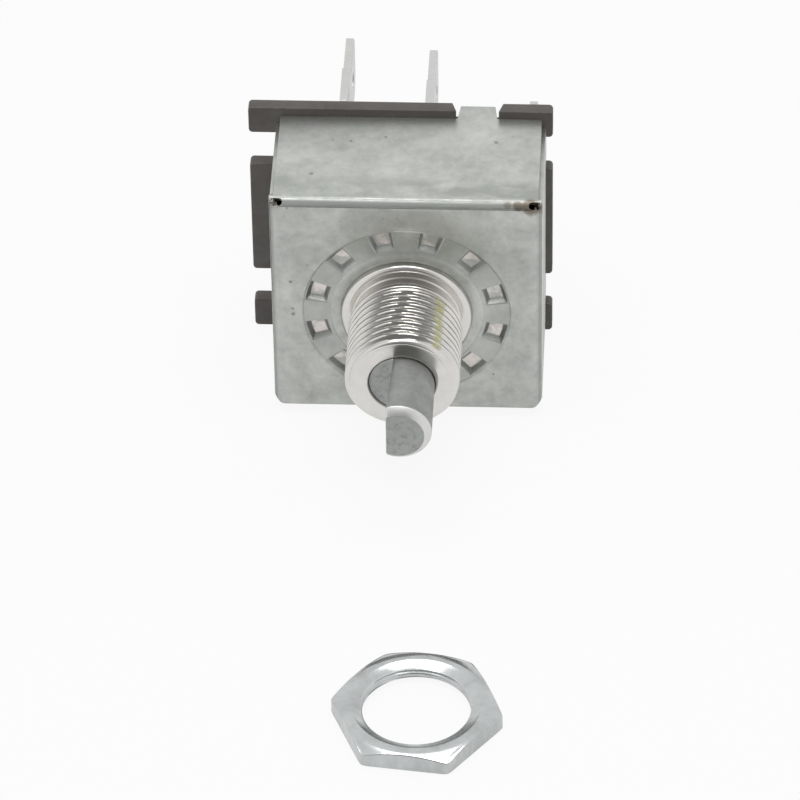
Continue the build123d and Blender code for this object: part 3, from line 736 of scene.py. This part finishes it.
class SWITCH_OT_bushing(bpy.types.Operator):
    """Turn the bushing and cut its thread"""

    bl_idname = "switch.bushing"
    bl_label = "Threaded bushing"

    def execute(self, context):
        t = context.scene.switch_thread
        front, back = BUSHING_LOW.y, BUSHING_HIGH.y
        band_front = -(t.collar_thickness + t.band_length)
        thread_front = front + t.end_length
        soft = 0.07

        # Each corner: radius, place along the axis, share of the thread's depth, rows to the next
        section = [
            (t.bore_radius, front + soft * 2, 0, 1),
            (t.bore_radius + soft, front + soft * 0.6, 0, 1),
            (t.bore_radius + soft * 2.4, front, 0, 4),
            (t.end_radius - soft, front, 0, 1),
            (t.end_radius, front + soft * 0.5, 0, 8),
            (t.thread_radius, thread_front, 1, 96),
            (t.thread_radius, band_front - 0.25, 1, 4),
            (t.thread_radius, band_front, 0.15, 2),
            (t.band_radius + 0.12, band_front + 0.18, 0, 2),
            (t.band_radius, band_front + 0.35, 0, 3),
            (t.band_radius, -t.collar_thickness - 0.1, 0, 2),
            (t.band_radius + 0.1, -t.collar_thickness, 0, 3),
            (t.collar_radius - t.collar_chamfer - soft, -t.collar_thickness, 0, 1),
            (t.collar_radius - t.collar_chamfer, -t.collar_thickness + soft * 0.3, 0, 3),
            (t.collar_radius - soft * 0.3, -t.collar_thickness + t.collar_chamfer, 0, 1),
            (t.collar_radius, -t.collar_thickness + t.collar_chamfer + soft, 0, 3),
            (t.collar_radius, t.collar_bed, 0, 1),
            (t.neck_radius, t.collar_bed, 0, 1),
            (t.neck_radius, t.sheet, 0, 1),
            (t.staked_radius, t.sheet, 0, 1),
            (t.staked_radius, back, 0, 1),
            (t.bore_radius, back, 0, 6),
        ]
        rows, depths = [], []
        for index, (radius, place, depth, count) in enumerate(section):
            following = section[(index + 1) % len(section)]
            for row_radius, row_place, row_depth in divided((radius, place, depth), following[:3], count):
                rows.append((row_radius, row_place))
                depths.append(row_depth)
        around = 144

        # Made standing up, with the bushing's front upwards, and laid down once the thread is cut
        turns = [2 * math.pi * step / around for step in range(around)]
        rings = [
            [Vector((radius * math.cos(turn), radius * math.sin(turn), -place)) * MM for turn in turns]
            for radius, place in rows
        ]
        bushing = new_piece("threaded_bushing", close_ring_mesh("threaded_bushing", rings, depths))
        values = {
            "Centre X": 0.0, "Centre Y": 0.0, "Pitch": t.thread_pitch * MM, "Depth": t.thread_depth * MM,
            "Crest Share": t.crest_share, "Inward": -1.0, "Material": bpy.data.materials["turned_metal"],
        }
        mesh = cut_thread(bushing, values)
        mesh.transform(Matrix.Rotation(math.radians(90), 4, "X"))
        shade_by_angle(mesh, 40)
        stand_for(bushing, "bushing")
        return {"FINISHED"}


class SWITCH_OT_nut(bpy.types.Operator):
    """Make the thin hexagon nut with its inner thread and its turned corners"""

    bl_idname = "switch.nut"
    bl_label = "Panel nut"

    def execute(self, context):
        t = context.scene.switch_thread
        centre = (NUT_LOW + NUT_HIGH) / 2
        bottom, top = NUT_LOW.z, NUT_HIGH.z
        minor, sink = t.nut_minor_radius, t.nut_countersink
        drop = (sink - minor) / 2
        flat = t.across_flats / 2
        around = 192
        soft = 0.14

        def hexagon(turn):
            """The hexagon's radius at an angle, with its corners a little rounded."""
            sector = math.radians(60)
            off = (turn - t.nut_turn) % sector - sector / 2
            sharp = flat / math.cos(off)
            corner = flat / math.cos(sector / 2)
            near = max(0.0, 1 - (sector / 2 - abs(off)) / math.radians(5))
            return sharp - (corner - flat) * 0.09 * near * near

        turns = [2 * math.pi * step / around for step in range(around)]

        def ring(radius_at, height_at):
            """A ring of points with this radius and height at each angle."""
            points = []
            for turn in turns:
                x = centre.x + radius_at(turn) * math.cos(turn)
                y = centre.y + radius_at(turn) * math.sin(turn)
                points.append(Vector((x, y, height_at(turn))) * MM)
            return points

        rings, depths = [], []

        def add(radius_at, height_at, depth=0.0):
            rings.append(ring(radius_at, height_at))
            depths.append(depth)

        # Up the threaded hole, from the lower countersink to the upper one
        add(lambda a: sink, lambda a: bottom)
        low, high = bottom + drop, top - drop
        rows = 30
        for step in range(rows + 1):
            share = step / rows
            depth = min(1.0, 4 * share + 0.35, 4 * (1 - share) + 0.35)
            add(lambda a: minor, lambda a, z=low + (high - low) * share: z, depth)
        for share in (0.33, 0.66, 0.96):
            add(lambda a, r=minor + (sink - minor) * share: r, lambda a, z=high + drop * share: z)
        add(lambda a: sink + 0.02, lambda a: top)

        # Out over the flat top, down the turned corners and down the sides
        turned = flat - 0.25
        slope = math.tan(t.nut_slope)

        def surface(radius):
            """The top's height at a radius: flat, then sloping, with a soft change between them."""
            past = radius - turned
            if past < -0.3:
                return top
            if past < 0.3:
                return top - slope * (past + 0.3) ** 2 / 1.2
            return top - slope * past

        for share in (0.15, 0.3, 0.6, 0.8, 0.9):
            add(lambda a, s=share: sink + 0.08 + (hexagon(a) - soft - sink - 0.08) * s,
                lambda a, s=share: surface(sink + 0.08 + (hexagon(a) - soft - sink - 0.08) * s))
        for step in range(5):
            bend = math.radians(90) * step / 4
            add(lambda a, b=bend: hexagon(a) - soft + soft * math.sin(b),
                lambda a, b=bend: surface(hexagon(a) - soft) - soft * (1 - math.cos(b)))
        foot = bottom + 0.1

        def side_top(turn):
            """The height where the side starts, below the rounded edge."""
            return surface(hexagon(turn) - soft) - soft

        for share in (0.25, 0.5, 0.75):
            add(hexagon, lambda a, s=share: side_top(a) * (1 - s) + foot * s)
        add(hexagon, lambda a: foot)
        add(lambda a: hexagon(a) - 0.03, lambda a: bottom + 0.03)
        add(lambda a: hexagon(a) - 0.1, lambda a: bottom)
        for share in (0.35, 0.7):
            add(lambda a, s=share: hexagon(a) - 0.1 + (sink - hexagon(a) + 0.1) * s, lambda a: bottom)
        nut = new_piece("panel_nut", close_ring_mesh("panel_nut", rings, depths))
        values = {
            "Centre X": centre.x * MM, "Centre Y": centre.y * MM, "Pitch": t.thread_pitch * MM,
            "Depth": t.thread_depth * MM, "Crest Share": 0.25, "Inward": 1.0,
            "Material": bpy.data.materials["nut_zinc"],
        }
        mesh = cut_thread(nut, values)
        shade_by_angle(mesh, 40)
        stand_for(nut, "mounting_nut")
        return {"FINISHED"}


class SWITCH_OT_soft_edges(bpy.types.Operator):
    """Round the edges of the pressed, cast, moulded and stamped pieces"""

    bl_idname = "switch.soft_edges"
    bl_label = "Soft edges"

    def execute(self, context):
        radius = context.scene.switch_finish.edge_radius * MM
        softened = {"housing": 1.0, "shaft": 1.2, "terminal_base": 1.6, "rotor": 1.2, "contact_bridge": 0.8}
        terminals = [node for node in frame["nodes"] if node.startswith("terminal_")]
        softened.update({node: 1.0 for node in terminals if node not in softened})
        for node, share in softened.items():
            work = bmesh.new()
            work.from_mesh(frame["nodes"][node].data)
            bmesh.ops.remove_doubles(work, verts=work.verts, dist=2e-6)
            if node != "housing":
                flat = math.radians(0.5)
                bmesh.ops.dissolve_limit(work, angle_limit=flat, verts=work.verts, edges=work.edges)
            mesh = bpy.data.meshes.new(f"{node}_soft")
            work.to_mesh(mesh)
            work.free()
            piece = new_piece(f"{node}_soft", mesh)
            edge = piece.modifiers.new("Edges", "BEVEL")
            edge.limit_method = "ANGLE"
            edge.angle_limit = math.radians(28)
            edge.width = radius * share
            edge.segments = 2
            edge.use_clamp_overlap = False
            mesh = finished_mesh(piece, f"{node}_soft")
            shade_by_angle(mesh, 32)
            stand_for(piece, node)
        return {"FINISHED"}


class SWITCH_OT_stage(bpy.types.Operator):
    """Lay the pale floor, and place the camera and the soft light"""

    bl_idname = "switch.stage"
    bl_label = "Stage"

    def execute(self, context):
        settings = context.scene.switch_stage
        self.camera(context, settings)
        self.floor()
        self.room(context, settings)
        self.softbox(settings)
        context.scene.view_settings.view_transform = "Standard"
        return {"FINISHED"}

    def camera(self, context, settings):
        sight_point = Vector((-0.43, -6.59, -5.52)) * MM
        turn = (
            Matrix.Rotation(settings.heading, 4, "Z")
            @ Matrix.Rotation(math.radians(90) - settings.elevation, 4, "X")
            @ Matrix.Rotation(settings.roll, 4, "Z")
        )
        data = bpy.data.cameras.new("camera")
        data.lens = settings.lens
        data.clip_start = 0.01
        camera = bpy.data.objects.new("camera", data)
        back_off = Matrix.Translation((0, 0, settings.distance * MM))
        camera.matrix_world = Matrix.Translation(sight_point) @ turn @ back_off
        context.scene.collection.objects.link(camera)
        context.scene.camera = camera

    def floor(self):
        half, height = 3.0, FLOOR_MM * MM
        mesh = bpy.data.meshes.new("floor")
        corners = [(-half, -half, height), (half, -half, height), (half, half, height), (-half, half, height)]
        mesh.from_pydata(corners, [], [(0, 1, 2, 3)])
        floor = new_piece("floor", mesh)
        material = bpy.data.materials.new("floor")
        material.use_nodes = True
        bench = Bench(material.node_tree)
        bench.tree.nodes.clear()
        lit = bench.place("ShaderNodeBsdfDiffuse", {"Color": (0.86, 0.86, 0.86, 1.0)}).outputs[0]
        white = bench.place("ShaderNodeEmission", {"Color": (1.0, 1.0, 1.0, 1.0), "Strength": 1.0}).outputs[0]
        path = bench.place("ShaderNodeLightPath").outputs
        seen = bench.math("MAXIMUM", path["Is Camera Ray"], path["Is Transmission Ray"])
        seen_white = bench.math("MULTIPLY", seen, 0.9)
        mirrored_white = bench.math("MULTIPLY", path["Is Glossy Ray"], 0.6)
        share = bench.math("MAXIMUM", seen_white, mirrored_white)
        both = bench.place("ShaderNodeMixShader", {0: share, 1: lit, 2: white}).outputs[0]
        bench.place("ShaderNodeOutputMaterial", {"Surface": both})
        mesh.materials.append(material)

    def room(self, context, settings):
        """Even light all round, with a white background and one unlit side in front of the switch."""
        world = bpy.data.worlds.new("room")
        world.use_nodes = True
        bench = Bench(world.node_tree)
        bench.tree.nodes.clear()
        way = bench.place("ShaderNodeTexCoord").outputs["Generated"]
        unlit = (0.0, -0.93, 0.36)
        mirrored_light = 0.9
        facing = bench.vector("DOT_PRODUCT", way, unlit)["Value"]
        shade = bench.math("MULTIPLY", bench.range(facing, 0.62, 0.95), settings.shade)
        open_part = bench.math("SUBTRACT", 1.0, shade)
        path = bench.place("ShaderNodeLightPath").outputs
        mirrored = bench.math("MAXIMUM", path["Is Glossy Ray"], path["Is Transmission Ray"])
        level = bench.range(mirrored, 0.0, 1.0, settings.room_light, mirrored_light)
        level = bench.math("MULTIPLY", level, open_part)
        strength = bench.math("MAXIMUM", level, path["Is Camera Ray"])
        values = {"Color": (1.0, 1.0, 1.0, 1.0), "Strength": strength}
        background = bench.place("ShaderNodeBackground", values)
        bench.place("ShaderNodeOutputWorld", {"Surface": background.outputs[0]})
        context.scene.world = world

    def softbox(self, settings):
        data = bpy.data.lights.new("softbox", "AREA")
        data.shape = "RECTANGLE"
        data.size = 0.34
        data.size_y = 0.20
        data.energy = settings.softbox_power
        lamp = bpy.data.objects.new("softbox", data)
        lamp.location = Vector((0.0, -0.05, 0.42))
        bpy.context.scene.collection.objects.link(lamp)


class SWITCH_PT_panel(bpy.types.Panel):
    """The switch's steps, in order"""

    bl_idname = "SWITCH_PT_panel"
    bl_label = "Rotary switch"
    bl_space_type = "VIEW_3D"
    bl_region_type = "UI"
    bl_category = "Rotary switch"

    def draw(self, context):
        for step in STEPS:
            self.layout.operator(step.bl_idname)
        for group in ("switch_thread", "switch_finish", "switch_stage"):
            settings = getattr(context.scene, group)
            for key in settings.__annotations__:
                self.layout.prop(settings, key)


STEPS = (SWITCH_OT_finishes, SWITCH_OT_bushing, SWITCH_OT_nut, SWITCH_OT_soft_edges, SWITCH_OT_stage)
SETTINGS = (SwitchThreadSettings, SwitchFinishSettings, SwitchStageSettings)
CLASSES = SETTINGS + STEPS + (SWITCH_PT_panel,)


def register():
    for item in CLASSES:
        bpy.utils.register_class(item)
    bpy.types.Scene.switch_thread = bpy.props.PointerProperty(type=SwitchThreadSettings)
    bpy.types.Scene.switch_finish = bpy.props.PointerProperty(type=SwitchFinishSettings)
    bpy.types.Scene.switch_stage = bpy.props.PointerProperty(type=SwitchStageSettings)


def unregister():
    for name in ("switch_thread", "switch_finish", "switch_stage"):
        delattr(bpy.types.Scene, name)
    for item in reversed(CLASSES):
        bpy.utils.unregister_class(item)


def main():
    register()
    bpy.ops.switch.finishes()
    bpy.ops.switch.bushing()
    bpy.ops.switch.nut()
    bpy.ops.switch.soft_edges()
    bpy.ops.switch.stage()


if __name__ == "__main__":
    main()
